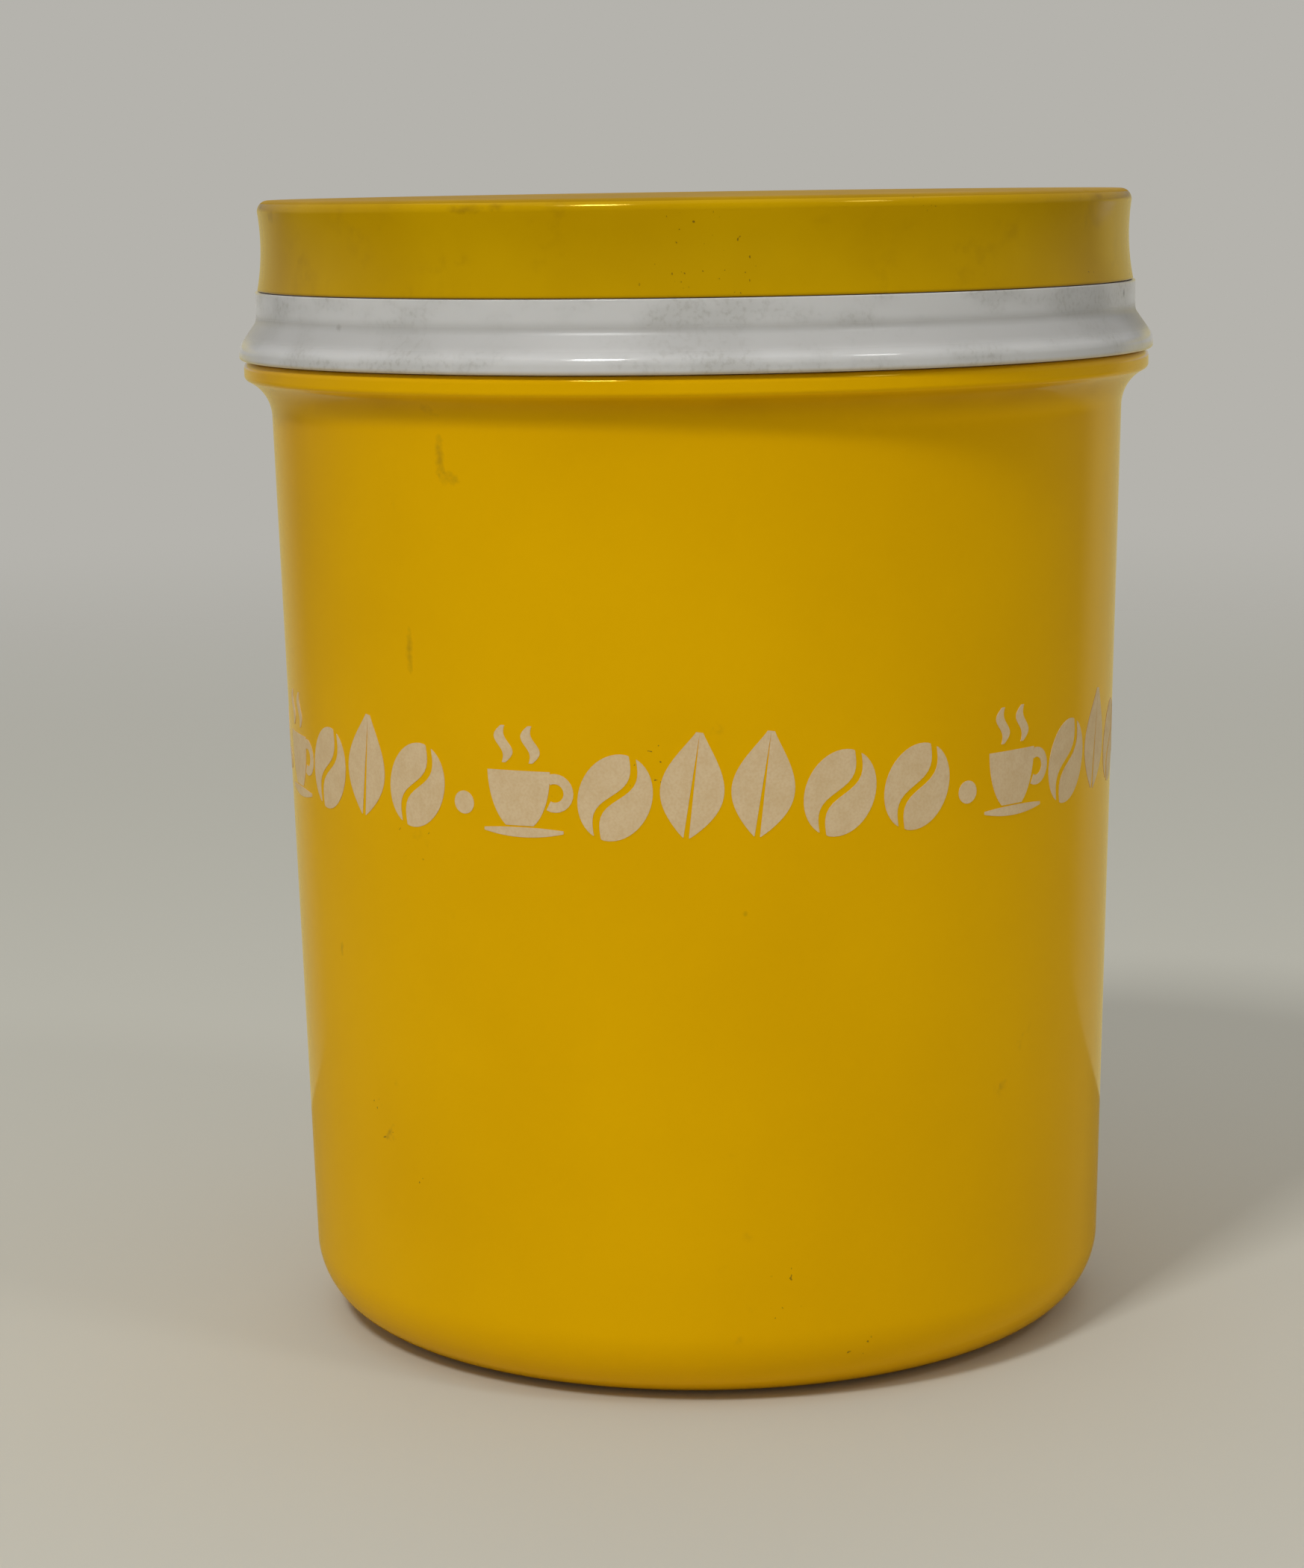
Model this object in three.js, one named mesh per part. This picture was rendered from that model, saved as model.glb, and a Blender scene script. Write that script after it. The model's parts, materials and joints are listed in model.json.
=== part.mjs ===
// Round kitchen canister for ground coffee: a moulded body with a flared rim, a soft white sealing
// insert that plugs the mouth, and a rigid lid cap pressed over the insert.
// Millimetres, +Z up, origin on the floor at the centre of the base. All three pieces are turned
// about Z, so each one is an outline in (radius, height) that is spun by a LatheGeometry.

import * as THREE from "three";

// ---- driving dimensions ----
const FACETS = 48; // flats round the circumference

// body
const BODY_HEIGHT = 134.2; // floor to the top of the rim
const BODY_RADIUS = 58.6; // outside of the wall, where the rim's cove begins
const DRAFT = THREE.MathUtils.degToRad(1.45); // the wall leans out by this much
const WALL = 2.4;
const FLOOR = 2.8;
const CORNER = 10.5; // outside radius between wall and base
const RIM_OVERHANG = 3.65; // how far the rim stands out from the wall
const RIM_FACE = 2.5; // height of the rim's upright edge
const RIM_WALL = 2.8; // width of the rim's top face
const RIM_ROUND = 0.5;
const COVE = 5.65; // radius of the hollow curve under the rim
const STAND_WIDTH = 4; // flat ring that the canister stands on
const BASE_RECESS = 1; // the middle of the base is this far off the floor
const GATE_RADIUS = 2; // pip left by the moulding gate
const GATE_HEIGHT = 0.5;

// sealing insert
const SEAT_GAP = 0.3; // between the rim and the insert's ledge
const BEAD_PROUD = 0.6; // the insert's bead stands out from the rim by this much
const BEAD_FACE = 0.35; // upright part of the bead
const BEAD_UNDER_ROUND = 0.6;
const BEAD_ROUND = 1.8;
const BEAD_SLOPE = THREE.MathUtils.degToRad(55); // lean of the shoulder over the bead
const NECK_COVE = 1.6; // hollow curve from the shoulder up to the neck
const BAND_HEIGHT = 8.9; // the part of the insert that shows
const BAND_WALL = 1.8;
const LEDGE = 1.7;
const NECK_PROUD = 0.32; // the neck stands out from the lid's lip
const SKIRT_DEPTH = 13; // how far the plug reaches below the ledge
const SKIRT_WALL = 1.6;
const SKIRT_CLEARANCE = 0.9; // between the plug and the body's inside
const FIN_CLEARANCE = 0.15; // between a sealing fin's edge and the body's inside
const FIN_HEIGHT = 1.4;
const FIN_EDGE = 0.3;
const FIN_LEVELS = [2.6, 5.8]; // above the plug's lower end
const PLUG_FLOOR = 1.5;
const PLUG_ROUND = 1.2;
const SPIGOT_HEIGHT = 4; // the part that the lid cap presses over
const SPIGOT_WALL = 1.6;
const SPIGOT_CLEARANCE = 0.4;
const GRIP_CLEARANCE = 0.12; // between the spigot's grip ridge and the lid's bore
const GRIP_HEIGHT = 1.2;

// lid cap
const LID_GAP = 0.2; // between the insert's neck and the lid's lip
const LID_SETBACK = 2.15; // the lid's lip stands back from the body's rim
const LID_SIDE = 10.7; // height of the lid's side below its rounded edge
const LID_WAIST = 0.45; // how far the side is hollowed between lip and edge
const LID_TAPER = 0.25; // the top edge is this much smaller than the lip
const LID_ROUND = 1.5;
const LID_WALL = 2.2;
const LID_TOP = 2.4;
const LID_INNER_ROUND = 1.5;
const LIP_ROUND = 0.3;

// ---- shared places ----
const rimRadius = BODY_RADIUS + RIM_OVERHANG;
const coveSweep = Math.acos(1 - RIM_OVERHANG / COVE);
const coveFoot = BODY_HEIGHT - RIM_FACE - COVE * Math.sin(coveSweep);
const ledgeBottom = BODY_HEIGHT + SEAT_GAP;
const neckTop = ledgeBottom + BAND_HEIGHT;
const lipBottom = neckTop + LID_GAP;
const lidRadius = rimRadius - LID_SETBACK;
const lidBore = lidRadius - LID_WAIST - LID_WALL;

// Outside and inside radius of the body's leaning wall at height z.
const wallOutside = (z) => BODY_RADIUS - (coveFoot - z) * Math.tan(DRAFT);
const wallInside = (z) => wallOutside(z) - WALL;

// Spins an outline about Z. The outline runs anticlockwise, from the axis out and back to it.
function turned(name, outline, arcSteps, color, roughness) {
  const geometry = new THREE.LatheGeometry(outline.getPoints(arcSteps), FACETS);
  geometry.rotateX(Math.PI / 2);
  const material = new THREE.MeshStandardMaterial({ color, roughness, metalness: 0 });
  const mesh = new THREE.Mesh(geometry, material);
  mesh.name = name;
  return mesh;
}

// Body: base with a standing ring, rounded corner, leaning wall, cove and flared rim. The inside
// follows the outside at the wall's thickness.
function canisterBody() {
  const cornerCentre = wallOutside(CORNER) - CORNER / Math.cos(DRAFT);
  const standInner = cornerCentre - STAND_WIDTH;
  const coveCentre = wallOutside(coveFoot) + COVE;
  const innerCorner = CORNER - WALL;
  const innerFloor = BASE_RECESS + FLOOR;
  const innerCentre = wallInside(innerFloor + innerCorner) - innerCorner / Math.cos(DRAFT);
  const mouthRadius = rimRadius - RIM_WALL;
  const mouthCove = COVE + WALL;
  const mouthSweep = Math.acos((coveCentre - mouthRadius) / mouthCove);

  const outline = new THREE.Path();
  outline.moveTo(0, BASE_RECESS - GATE_HEIGHT);
  outline.lineTo(GATE_RADIUS, BASE_RECESS - GATE_HEIGHT);
  outline.lineTo(GATE_RADIUS, BASE_RECESS);
  outline.lineTo(standInner - BASE_RECESS, BASE_RECESS);
  outline.lineTo(standInner, 0);
  outline.absarc(cornerCentre, CORNER, CORNER, -Math.PI / 2, -DRAFT, false);
  outline.absarc(coveCentre, coveFoot, COVE, Math.PI, Math.PI - coveSweep, true);
  outline.lineTo(rimRadius, BODY_HEIGHT - RIM_ROUND);
  outline.lineTo(rimRadius - RIM_ROUND, BODY_HEIGHT);
  outline.lineTo(mouthRadius + RIM_ROUND, BODY_HEIGHT);
  outline.absarc(coveCentre, coveFoot, mouthCove, Math.PI - mouthSweep, Math.PI, false);
  outline.absarc(innerCentre, innerFloor + innerCorner, innerCorner, -DRAFT, -Math.PI / 2, true);
  outline.lineTo(0, innerFloor);
  return turned("canister_body", outline, 3, 0xe0a800, 0.25);
}

// Sealing insert: a dished plug with two fins that wipe the body's inside, a ledge that rests on the
// rim, the band that shows with its bead and neck, and a spigot for the lid cap.
function sealingInsert() {
  const plugBottom = ledgeBottom - SKIRT_DEPTH;
  const skirtRadius = wallInside(plugBottom) - SKIRT_CLEARANCE;
  const skirtInside = skirtRadius - SKIRT_WALL;
  const beadRadius = rimRadius + BEAD_PROUD;
  const beadTop = ledgeBottom + BEAD_UNDER_ROUND + BEAD_FACE;
  const neckRadius = lidRadius + NECK_PROUD;
  const shoulderTurn = Math.PI / 2 - BEAD_SLOPE;
  const shoulderFoot = beadRadius - BEAD_ROUND * (1 - Math.cos(shoulderTurn));
  const neckFootRun = NECK_COVE * (1 - Math.cos(shoulderTurn));
  const shoulderTop = beadTop + BEAD_ROUND * Math.sin(shoulderTurn)
    + (shoulderFoot - neckRadius - neckFootRun) * Math.tan(BEAD_SLOPE);
  const neckFoot = shoulderTop + NECK_COVE * Math.sin(shoulderTurn);
  const spigotRadius = lidBore - SPIGOT_CLEARANCE;
  const spigotInside = spigotRadius - SPIGOT_WALL;
  const gripRadius = lidBore - GRIP_CLEARANCE;
  const gripFoot = neckTop + (SPIGOT_HEIGHT - GRIP_HEIGHT) / 2;

  const outline = new THREE.Path();
  outline.moveTo(0, plugBottom);
  outline.lineTo(skirtRadius - PLUG_ROUND, plugBottom);
  outline.absarc(skirtRadius - PLUG_ROUND, plugBottom + PLUG_ROUND, PLUG_ROUND, -Math.PI / 2, 0, false);
  for (const level of FIN_LEVELS) {
    const finFoot = plugBottom + level;
    const finRadius = wallInside(finFoot) - FIN_CLEARANCE;
    outline.lineTo(skirtRadius, finFoot);
    outline.lineTo(finRadius, finFoot + FIN_HEIGHT / 2 - FIN_EDGE / 2);
    outline.lineTo(finRadius, finFoot + FIN_HEIGHT / 2 + FIN_EDGE / 2);
    outline.lineTo(skirtRadius, finFoot + FIN_HEIGHT);
  }
  outline.lineTo(skirtRadius, ledgeBottom);
  outline.lineTo(beadRadius - BEAD_UNDER_ROUND, ledgeBottom);
  outline.lineTo(beadRadius, ledgeBottom + BEAD_UNDER_ROUND);
  outline.absarc(beadRadius - BEAD_ROUND, beadTop, BEAD_ROUND, 0, shoulderTurn, false);
  outline.absarc(neckRadius + NECK_COVE, neckFoot, NECK_COVE, Math.PI + shoulderTurn, Math.PI, true);
  outline.lineTo(neckRadius, neckTop);
  outline.lineTo(spigotRadius, neckTop);
  outline.lineTo(spigotRadius, gripFoot);
  outline.lineTo(gripRadius, gripFoot + GRIP_HEIGHT / 2);
  outline.lineTo(spigotRadius, gripFoot + GRIP_HEIGHT);
  outline.lineTo(spigotRadius, neckTop + SPIGOT_HEIGHT);
  outline.lineTo(spigotInside, neckTop + SPIGOT_HEIGHT);
  outline.lineTo(spigotInside, neckTop - BAND_WALL);
  outline.lineTo(neckRadius - BAND_WALL, neckTop - BAND_WALL - (neckRadius - BAND_WALL - spigotInside) / 2);
  outline.lineTo(neckRadius - BAND_WALL, neckFoot - BAND_WALL / 2);
  outline.lineTo(shoulderFoot - BAND_WALL, beadTop + LEDGE / 2);
  outline.lineTo(shoulderFoot - BAND_WALL, ledgeBottom + LEDGE);
  outline.lineTo(skirtInside, ledgeBottom + LEDGE);
  outline.lineTo(skirtInside, plugBottom + PLUG_FLOOR + PLUG_ROUND);
  outline.lineTo(skirtInside - PLUG_ROUND, plugBottom + PLUG_FLOOR);
  outline.lineTo(0, plugBottom + PLUG_FLOOR);
  return turned("sealing_insert", outline, 2, 0xd9dad6, 0.5);
}

// Lid cap: a shallow rigid cap with a slightly hollowed side, a rounded edge and a flat top.
function lidCap() {
  const edgeRadius = lidRadius - LID_TAPER;
  const edgeFoot = lipBottom + LID_SIDE;
  const topHeight = edgeFoot + LID_ROUND;
  const sideMiddle = (lipBottom + edgeFoot) / 2;
  const sidePull = (lidRadius + edgeRadius) / 2 - 2 * LID_WAIST; // a curve reaches half way to its pull
  const innerTop = topHeight - LID_TOP;
  const innerRoundFoot = innerTop - LID_INNER_ROUND;

  const outline = new THREE.Path();
  outline.moveTo(0, innerTop);
  outline.lineTo(lidBore - LID_INNER_ROUND, innerTop);
  outline.absarc(lidBore - LID_INNER_ROUND, innerRoundFoot, LID_INNER_ROUND, Math.PI / 2, 0, true);
  outline.lineTo(lidBore, lipBottom);
  outline.lineTo(lidRadius - LIP_ROUND, lipBottom);
  outline.lineTo(lidRadius, lipBottom + LIP_ROUND);
  outline.quadraticCurveTo(sidePull, sideMiddle, edgeRadius, edgeFoot);
  outline.absarc(edgeRadius - LID_ROUND, edgeFoot, LID_ROUND, 0, Math.PI / 2, false);
  outline.lineTo(0, topHeight);
  return turned("lid_cap", outline, 3, 0xc79a00, 0.3);
}

const canister = new THREE.Group();
canister.add(canisterBody(), sealingInsert(), lidCap());

export default canister;
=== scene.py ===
# A round kitchen canister for ground coffee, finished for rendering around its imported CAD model: the
# moulded body, the line of print round it, the soft sealing insert and the lid cap, each in its own
# section in the order in which the canister is put together. Outlines are in millimetres.

import json
import math

import bpy
from mathutils import Matrix, Vector

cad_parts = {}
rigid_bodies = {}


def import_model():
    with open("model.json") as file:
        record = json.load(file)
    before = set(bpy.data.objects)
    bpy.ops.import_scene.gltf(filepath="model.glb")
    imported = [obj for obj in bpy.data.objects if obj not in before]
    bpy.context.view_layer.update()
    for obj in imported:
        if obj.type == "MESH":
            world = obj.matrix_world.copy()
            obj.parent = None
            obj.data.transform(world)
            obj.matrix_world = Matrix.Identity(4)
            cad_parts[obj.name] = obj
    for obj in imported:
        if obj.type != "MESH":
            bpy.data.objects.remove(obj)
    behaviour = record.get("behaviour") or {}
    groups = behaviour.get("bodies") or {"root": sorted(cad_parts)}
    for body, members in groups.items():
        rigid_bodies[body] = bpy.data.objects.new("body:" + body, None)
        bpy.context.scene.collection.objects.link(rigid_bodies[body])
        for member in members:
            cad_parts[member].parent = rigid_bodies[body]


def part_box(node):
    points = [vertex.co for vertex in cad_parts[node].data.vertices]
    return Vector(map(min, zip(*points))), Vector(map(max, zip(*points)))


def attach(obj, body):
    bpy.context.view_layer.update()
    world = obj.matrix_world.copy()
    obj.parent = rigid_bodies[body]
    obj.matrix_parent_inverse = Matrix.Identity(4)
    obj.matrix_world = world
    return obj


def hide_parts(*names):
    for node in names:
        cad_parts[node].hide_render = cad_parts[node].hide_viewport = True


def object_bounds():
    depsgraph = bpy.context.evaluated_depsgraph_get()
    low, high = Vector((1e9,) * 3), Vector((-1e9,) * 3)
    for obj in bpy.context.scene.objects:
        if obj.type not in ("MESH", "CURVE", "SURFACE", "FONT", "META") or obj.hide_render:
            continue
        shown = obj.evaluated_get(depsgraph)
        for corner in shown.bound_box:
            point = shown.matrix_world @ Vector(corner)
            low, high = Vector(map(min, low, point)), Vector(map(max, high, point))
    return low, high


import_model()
cad_low, cad_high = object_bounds()

# ---- canister body ----
# The body is one injection moulding in golden-yellow ABS: a cup that leans outwards a little for its
# draft, with a large rounded corner at the base and a flared rim that the insert sits on.

MM = 0.001
FACETS = 192

body_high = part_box("canister_body")[1]
RIM_RADIUS = body_high.x / MM
RIM_TOP = body_high.z / MM
RIM_OVERHANG = 3.65
RIM_FACE = 2.5
RIM_WALL = 2.8
RIM_UPPER_ROUND = 0.95
RIM_LOWER_ROUND = 0.8
RIM_INNER_ROUND = 0.4
COVE = 5.65
DRAFT = math.radians(1.45)
WALL = 2.4
CORNER = 10.5
FLOOR = 2.8
STAND_WIDTH = 4
STAND_ROUND = 0.6
BASE_RECESS = 1
GATE_RADIUS = 2
GATE_HEIGHT = 0.5
GATE_ROUND = 0.2
RING_STEP = 10
LOWEST_OUTER_RING = 20
LOWEST_INNER_RING = 16


def arc(centre, radius, start, end, steps):
    """Points of a round stretch of an outline. Angles are in degrees, 0 is outwards and 90 is up."""
    turn = [math.radians(start + (end - start) * i / steps) for i in range(steps + 1)]
    return [(centre[0] + radius * math.cos(a), centre[1] + radius * math.sin(a)) for a in turn]


def steadied(outline):
    """Adds a ring near both ends of each straight stretch, so that its shading stays flat."""
    inset, most = 0.15, 0.3
    held = outline[:1]
    for start, end in zip(outline, outline[1:]):
        share = inset / max(math.dist(start, end), inset)
        for part in (share, 1 - share) if share < most else ():
            held.append(tuple(a + (b - a) * part for a, b in zip(start, end)))
        held.append(end)
    return held


def turned(name, outline):
    """Spins an outline of (radius, height) about Z. It runs anticlockwise, from the axis back to it."""
    foot, *rings, head = steadied(outline)
    points = [(0, 0, foot[1] * MM)]
    for radius, height in rings:
        for i in range(FACETS):
            a = math.tau * i / FACETS
            points.append((radius * math.cos(a) * MM, radius * math.sin(a) * MM, height * MM))
    points.append((0, 0, head[1] * MM))
    last = len(points) - 1
    faces = []
    for i in range(FACETS):
        j = (i + 1) % FACETS
        faces.append((0, 1 + j, 1 + i))
        for ring in range(len(rings) - 1):
            low, high = 1 + ring * FACETS, 1 + (ring + 1) * FACETS
            faces.append((low + i, low + j, high + j, high + i))
        faces.append((last - FACETS + i, last - FACETS + j, last))
    mesh = bpy.data.meshes.new(name)
    mesh.from_pydata(points, [], faces)
    mesh.shade_smooth()
    piece = bpy.data.objects.new(name, mesh)
    bpy.context.scene.collection.objects.link(piece)
    return piece


def add(tree, kind, inputs=None, **settings):
    """Adds a node to a tree. Settings are its properties, inputs are values or sockets to link."""
    node = tree.nodes.new(kind)
    for key, value in settings.items():
        setattr(node, key, value)
    for key, value in (inputs or {}).items():
        if isinstance(value, bpy.types.NodeSocket):
            tree.links.new(value, node.inputs[key])
        else:
            node.inputs[key].default_value = value
    return node


def colour(code):
    """Linear RGBA of an sRGB hex colour."""
    parts = [int(code[i:i + 2], 16) / 255 for i in (1, 3, 5)]
    return [c / 12.92 if c <= 0.04045 else ((c + 0.055) / 1.055) ** 2.4 for c in parts] + [1]


def material(name):
    """An empty node material, its tree and its Object coordinates."""
    made = bpy.data.materials.new(name)
    made.use_nodes = True
    made.node_tree.nodes.clear()
    return made, made.node_tree, add(made.node_tree, "ShaderNodeTexCoord").outputs["Object"]


def patches(tree, place, size_mm, low, high, detail=3):
    """A soft mask of noise patches about size_mm across: 0 where the noise is under low, 1 over high."""
    noise = add(tree, "ShaderNodeTexNoise",
                {"Vector": place, "Scale": 1 / (size_mm * MM), "Detail": detail})
    mask = add(tree, "ShaderNodeMapRange",
               {"Value": noise.outputs["Fac"], "From Min": low, "From Max": high},
               interpolation_type="SMOOTHSTEP")
    return mask.outputs["Result"]


def painted(tree, ground, *coats):
    """Lays coats of colour over a ground, one after another. Each coat is its colour and the masks and
    strengths whose product says how much of it shows."""
    shade = colour(ground)
    for code, amount, *shares in coats:
        for share in shares:
            amount = add(tree, "ShaderNodeMath", {0: amount, 1: share}, operation="MULTIPLY").outputs[0]
        shade = add(tree, "ShaderNodeMix", {0: amount, 6: shade, 7: colour(code)},
                    data_type="RGBA").outputs[2]
    return shade


def mark(tree, place, radius, azimuth, height, wide, tall):
    """A ragged spot of wide by tall millimetres on the outside. Azimuth 0 is the front, 90 the right."""
    spread, raggedness, outer_edge, inner_edge = 1.6, 1.6, 1.65, 0.8
    a = math.radians(azimuth)
    spot = (radius * math.sin(a) * MM, -radius * math.cos(a) * MM, height * MM)
    shift = add(tree, "ShaderNodeVectorMath", {0: place, 1: spot}, operation="SUBTRACT").outputs[0]
    across, upward = 2 / (wide * spread * MM), 2 / (tall * spread * MM)
    reach = add(tree, "ShaderNodeVectorMath", {0: shift, 1: (across, across, upward)},
                operation="MULTIPLY").outputs[0]
    far = add(tree, "ShaderNodeVectorMath", {0: reach}, operation="LENGTH").outputs["Value"]
    ragged = add(tree, "ShaderNodeTexNoise", {"Vector": place, "Scale": 1 / (1.1 * MM), "Detail": 3})
    edge = add(tree, "ShaderNodeMath", {0: ragged.outputs["Fac"], 1: raggedness, 2: far},
               operation="MULTIPLY_ADD").outputs[0]
    return add(tree, "ShaderNodeMapRange", {"Value": edge, "From Min": outer_edge,
               "From Max": inner_edge}).outputs["Result"]


def wall_outside(height):
    """Outside radius of the leaning wall at a height."""
    return RIM_RADIUS - RIM_OVERHANG - (cove_foot - height) * math.tan(DRAFT)


cove_foot = RIM_TOP - RIM_FACE - COVE * math.sin(math.acos(1 - RIM_OVERHANG / COVE))
cove_centre = (RIM_RADIUS - RIM_OVERHANG + COVE, cove_foot)
lower_run = cove_centre[0] - (RIM_RADIUS - RIM_LOWER_ROUND)
lower_rise = math.sqrt((COVE + RIM_LOWER_ROUND) ** 2 - lower_run ** 2)
lower_turn = math.degrees(math.atan2(lower_rise, -lower_run))
corner_centre = (wall_outside(CORNER) - CORNER / math.cos(DRAFT), CORNER)
stand_inner = corner_centre[0] - STAND_WIDTH
inner_floor = BASE_RECESS + FLOOR
inner_corner = CORNER - WALL
inner_centre = (wall_outside(CORNER) - WALL - inner_corner / math.cos(DRAFT),
                inner_floor + inner_corner)
mouth_radius = RIM_RADIUS - RIM_WALL
mouth_cove = COVE + WALL
mouth_turn = 180 - math.degrees(math.acos((cove_centre[0] - mouth_radius) / mouth_cove))
draft = math.degrees(DRAFT)

# The moulding gate's pip, the recess and the standing ring.
body_outline = [(0, BASE_RECESS - GATE_HEIGHT)]
body_outline += arc((GATE_RADIUS - GATE_ROUND, BASE_RECESS - GATE_HEIGHT + GATE_ROUND),
                    GATE_ROUND, -90, 0, 4)
body_outline += arc((GATE_RADIUS + GATE_ROUND, BASE_RECESS - GATE_ROUND), GATE_ROUND, 180, 90, 4)
body_outline += arc((stand_inner - STAND_ROUND - BASE_RECESS, BASE_RECESS - STAND_ROUND),
                    STAND_ROUND, 90, 30, 4)
body_outline += arc((stand_inner, STAND_ROUND), STAND_ROUND, 220, 270, 4)

# The corner, the wall's outside, the hollow curve and the rim.
body_outline += arc(corner_centre, CORNER, -90, -draft, 24)
body_outline += [(wall_outside(z), z) for z in range(LOWEST_OUTER_RING, int(cove_foot), RING_STEP)]
body_outline += arc(cove_centre, COVE, 180, lower_turn, 14)
body_outline += arc((RIM_RADIUS - RIM_LOWER_ROUND, cove_foot + lower_rise),
                    RIM_LOWER_ROUND, lower_turn - 180, 0, 8)[1:]
body_outline += arc((RIM_RADIUS - RIM_UPPER_ROUND, RIM_TOP - RIM_UPPER_ROUND),
                    RIM_UPPER_ROUND, 0, 90, 8)
body_outline += arc((mouth_radius + RIM_INNER_ROUND, RIM_TOP - RIM_INNER_ROUND),
                    RIM_INNER_ROUND, 90, 180, 5)

# The flared mouth, the wall's inside and the inner corner, down to the floor.
body_outline += arc(cove_centre, mouth_cove, mouth_turn, 180, 12)
highest_inner_ring = int(cove_foot) - 6
body_outline += [(wall_outside(z) - WALL, z)
                 for z in range(highest_inner_ring, LOWEST_INNER_RING - 1, -RING_STEP)]
body_outline += arc(inner_centre, inner_corner, -draft, -90, 16)
body_outline += [(0, inner_floor)]
body = turned("body_shell", body_outline)

# Moulded ABS: a saturated colour right through the material under a polished mould surface, gone
# slightly uneven with handling. Close to, its gloss is golden, and at the edges it mirrors the room.
# A few brown rub marks and specks, and under the rim a darker band: painted shade of the overhanging rim,
# with some grease and dust caught there.
GOLD_GLOSS = "#ffe05a"
BODY_MARK_STRENGTH = 0.38
# Azimuth in degrees, height, width and tallness in millimetres.
BODY_MARKS = (
    (-33.7, 123.9, 1.3, 4.5), (-32.6, 121.0, 2.4, 1.6), (-40.1, 98.5, 1.0, 4.2),
    (-34.4, 130.1, 2.2, 2.4), (5.5, 65.9, 0.7, 0.7), (-58.5, 56.6, 0.8, 1.6),
    (118, 92, 2.2, 5.5), (203, 40, 1.2, 3.0), (152, 119, 3.0, 1.4))

abs_plastic, tree, place = material("moulded_abs_golden_yellow")
cloud = patches(tree, place, 38, 0.3, 0.7)
height = add(tree, "ShaderNodeSeparateXYZ", {0: place}).outputs["Z"]
# Where the hollow curve lies under the rim its colour is darkened: painted shade of the rim, with some
# grease.
in_the_hollow = add(tree, "ShaderNodeMapRange", {"Value": height, "From Min": (cove_foot + 1) * MM,
                    "From Max": (cove_foot + 4.5) * MM}, interpolation_type="SMOOTHSTEP").outputs["Result"]
below_the_rim = add(tree, "ShaderNodeMapRange", {"Value": height, "From Min": (RIM_TOP - RIM_FACE) * MM,
                    "From Max": (RIM_TOP - RIM_FACE - 0.6) * MM}).outputs["Result"]
grime_and_shade = add(tree, "ShaderNodeMapRange", {"Value": patches(tree, place, 12, 0.35, 0.7, 1),
            "To Min": 0.36, "To Max": 0.5}).outputs["Result"]
rubs = add(tree, "ShaderNodeMath", {0: patches(tree, place, 6, 0.64, 0.78),
           1: patches(tree, place, 22, 0.58, 0.68)}, operation="MULTIPLY").outputs[0]
shade = painted(
    tree, "#f5bb00",
    ("#efb500", cloud),
    # painted shade under the overhanging rim, with some grease and dust
    ("#a87400", in_the_hollow, below_the_rim, grime_and_shade),
    ("#b58a20", rubs, patches(tree, place, 1.2, 0.4, 0.7)),
    ("#a37e1c", patches(tree, place, 0.5, 0.78, 0.81, 0), patches(tree, place, 21, 0.67, 0.69)),
    *[("#8f6f1e", mark(tree, place, wall_outside(spot[1]), *spot), BODY_MARK_STRENGTH)
      for spot in BODY_MARKS])
scratch_place = add(tree, "ShaderNodeMapping", {"Vector": place, "Scale": (1, 1, 0.06)}).outputs[0]
handled = add(tree, "ShaderNodeMath", {0: patches(tree, place, 16, 0.45, 0.7),
              1: patches(tree, scratch_place, 0.5, 0.6, 0.72)}, operation="MULTIPLY").outputs[0]
dull = add(tree, "ShaderNodeMath", {0: handled, 1: rubs}, operation="MAXIMUM").outputs[0]
roughness = add(tree, "ShaderNodeMapRange", {"Value": dull, "To Min": 0.09,
                "To Max": 0.17}).outputs["Result"]
peel = add(tree, "ShaderNodeTexNoise", {"Vector": place, "Scale": 1 / (6 * MM), "Detail": 1})
bump = add(tree, "ShaderNodeBump", {"Height": peel.outputs["Fac"], "Strength": 0.1,
           "Distance": 0.08 * MM})
shader = add(tree, "ShaderNodeBsdfPrincipled", {"Base Color": shade, "Roughness": roughness, "IOR": 1.5,
             "Specular Tint": colour(GOLD_GLOSS), "Normal": bump.outputs["Normal"]})
add(tree, "ShaderNodeOutputMaterial", {"Surface": shader.outputs["BSDF"]})
body.data.materials.append(abs_plastic)
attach(body, "canister")
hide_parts("canister_body")

# ---- print round the body ----
# One line of cream ink, screen printed straight on the wall: cups, beans and leaves between round
# dots, three times round, with an unprinted gap at the back where the screen starts and ends.

PRINT_FOOT = 75.5
TALL = 14.4
SMALL = 11.1
GAP = 0.9
DOT_GAP = 1.45
DOT_RADIUS = 1.5
DOT_LEVEL = 4
FIRST_DOT = math.radians(-149.2)
REPEATS = 3
FILM = 0.05
SUNK = 0.08
ROW = "dot cup bean leaf leaf bean bean dot cup bean leaf bean".split()
WIDTHS = {"bean": 10.0, "cup": 12.2, "dot": 2 * DOT_RADIUS, "leaf": 8.1}


def along(steps, point):
    """Points of one edge of a stroke, as a share of its length runs from 0 to 1."""
    return [point(i / steps) for i in range(steps + 1)]


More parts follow.
